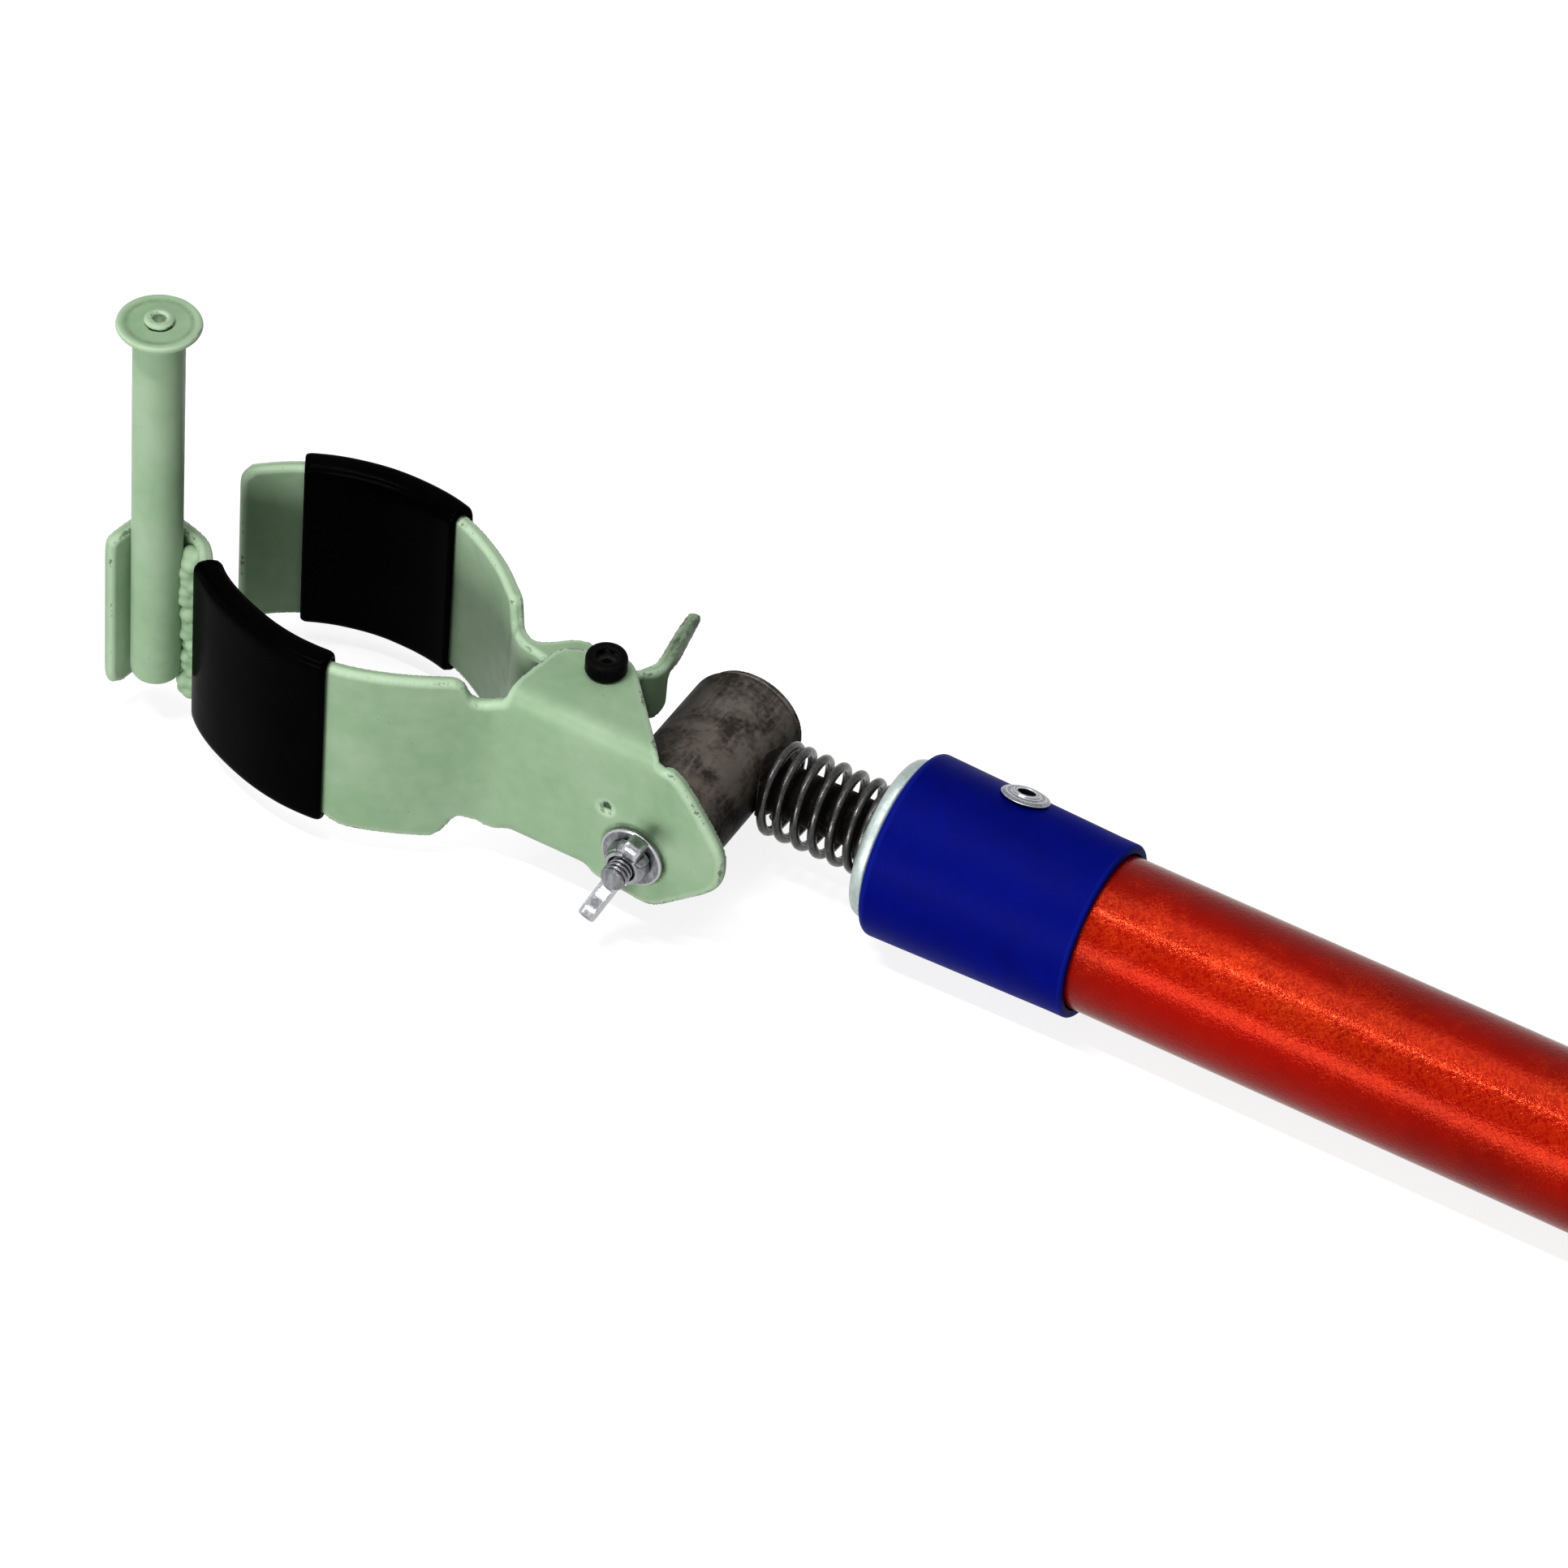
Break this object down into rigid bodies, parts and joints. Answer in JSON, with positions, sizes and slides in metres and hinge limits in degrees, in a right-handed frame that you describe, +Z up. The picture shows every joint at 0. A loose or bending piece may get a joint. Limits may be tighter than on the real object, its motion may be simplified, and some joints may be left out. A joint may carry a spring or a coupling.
{
  "type": "lineman hot stick",
  "caption": "Insulating pole with a spring-mounted tilting head: two curved padded jaws, one sprung with a finger lever, and an upright guide pin.",
  "frame": {"origin": "centre of the flat end face of the butt cap", "axes": "+X along the pole out of its butt end, so the head lies towards -X; +Z up along the guide pin at rest; the fixed jaw is on the -Y side"},
  "size_m": [0.8057, 0.0787, 0.1226],
  "materials": {
    "green_paint": "satin sage green enamel on steel strap",
    "black_vinyl": "smooth black vinyl sleeve",
    "blue_vinyl": "moulded dark blue vinyl",
    "fibreglass": "glossy orange-red fibreglass with streaks of fibre",
    "foam": "rigid foam core",
    "cap_rubber": "matt black rubber",
    "scaled_steel": "dark brown mill scale on steel",
    "spring_steel": "dark drawn spring steel",
    "zinc": "bright zinc plate",
    "black_oxide": "black oxide",
    "rivet": "dull aluminium"
  },
  "bodies": {
    "pole": {"pole_tube": "fibreglass", "foam_core": "foam", "butt_cap": "cap_rubber", "collar_sleeve": "blue_vinyl", "collar_rivet_1": "rivet", "collar_rivet_2": "rivet", "end_plug": "zinc"},
    "stop": {"stop_washer": "zinc"},
    "knuckle": {"shaft": "scaled_steel", "shaft_stop_nut": "zinc", "compression_spring": "spring_steel", "cross_tube": "scaled_steel", "tube_end_washer": "zinc", "clamp_bolt": "zinc"},
    "head": {"fixed_jaw": "green_paint", "fixed_jaw_sleeve": "black_vinyl", "guide_pin": "green_paint", "guide_pin_cap": "green_paint", "jaw_pivot_screw": "black_oxide", "jaw_pivot_washer": "zinc", "jaw_pivot_nut": "zinc", "jaw_pivot_spacer": "zinc", "jaw_torsion_spring": "spring_steel"},
    "swing": {"swing_jaw": "green_paint", "swing_jaw_sleeve": "black_vinyl"},
    "nut_washer": {"wing_nut_washer": "zinc"},
    "wing_nut": {"wing_nut": "zinc"}
  },
  "joints": [
    {"name": "shaft_slide", "type": "slide", "parent": "pole", "child": "stop", "axis": [1, 0, 0], "range_m": [0, 0.012], "stiffness_N_per_m": 6000, "springref_m": -0.003, "deforming": ["compression_spring"]},
    {"name": "shaft_swivel", "type": "hinge", "parent": "stop", "child": "knuckle", "pos_m": [-0.6636, 0, 0], "axis": [1, 0, 0], "continuous": true},
    {"name": "head_tilt", "type": "hinge", "parent": "knuckle", "child": "head", "pos_m": [-0.6636, 0, 0], "axis": [0, 1, 0], "range_deg": [-90, 60]},
    {"name": "jaw_swing", "type": "hinge", "parent": "head", "child": "swing", "pos_m": [-0.6846, -0.0186, 0], "axis": [0, 0, -1], "range_deg": [0, 25], "stiffness_Nm_per_rad": 0.33, "springref_deg": -45.84, "deforming": ["jaw_torsion_spring"]},
    {"name": "washer_slide", "type": "slide", "parent": "knuckle", "child": "nut_washer", "axis": [0, -1, 0], "range_m": [0, 0.002]},
    {"name": "wing_nut_turn", "type": "hinge", "parent": "nut_washer", "child": "wing_nut", "pos_m": [-0.6636, 0, 0], "axis": [0, -1, 0], "range_deg": [0, 565]}
  ],
  "couplings": [
    {"joint": "washer_slide", "follows": "wing_nut_turn", "m_per_rad": 0.00020213}
  ]
}
